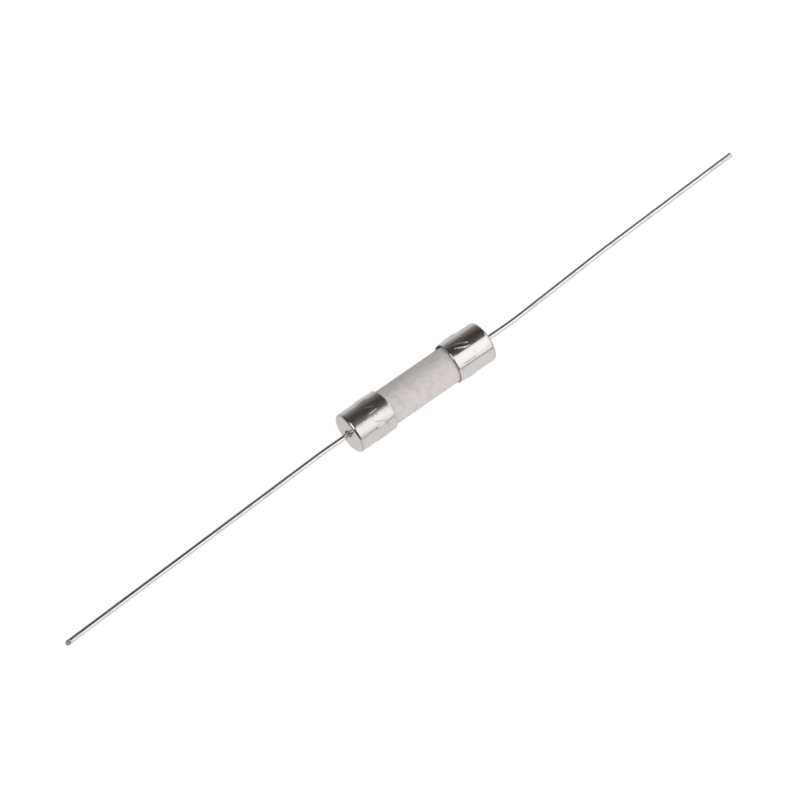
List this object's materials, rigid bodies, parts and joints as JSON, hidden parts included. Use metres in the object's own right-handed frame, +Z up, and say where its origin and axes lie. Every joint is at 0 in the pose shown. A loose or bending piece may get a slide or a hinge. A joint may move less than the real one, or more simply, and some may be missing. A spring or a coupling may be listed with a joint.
{
  "type": "ceramic cartridge fuse",
  "caption": "Axial-lead ceramic cartridge fuse: an off-white ceramic tube with a bright plated metal cap on each end and a long wire lead welded to each cap.",
  "frame": {"origin": "centre of the fuse's body, on its axis", "axes": "+X along the body's axis towards the right end cap, +Z up; the caps' sides rest on the surface below, at z = -2.6 mm"},
  "size_m": [0.1021, 0.0052, 0.0052],
  "materials": {
    "white_ceramic": "matte",
    "nickel_plate": "polished",
    "tinned_wire": "satin",
    "weld_metal": "matte",
    "fuse_wire": "satin",
    "quartz_sand": "matte",
    "solder": "satin"
  },
  "bodies": {
    "root": {"ceramic_tube": "white_ceramic", "left_end_cap": "nickel_plate", "right_end_cap": "nickel_plate", "left_lead": "tinned_wire", "right_lead": "tinned_wire", "left_weld_bead": "weld_metal", "right_weld_bead": "weld_metal", "fuse_element": "fuse_wire", "quartz_fill": "quartz_sand", "left_solder_pool": "solder", "right_solder_pool": "solder"}
  },
  "joints": []
}
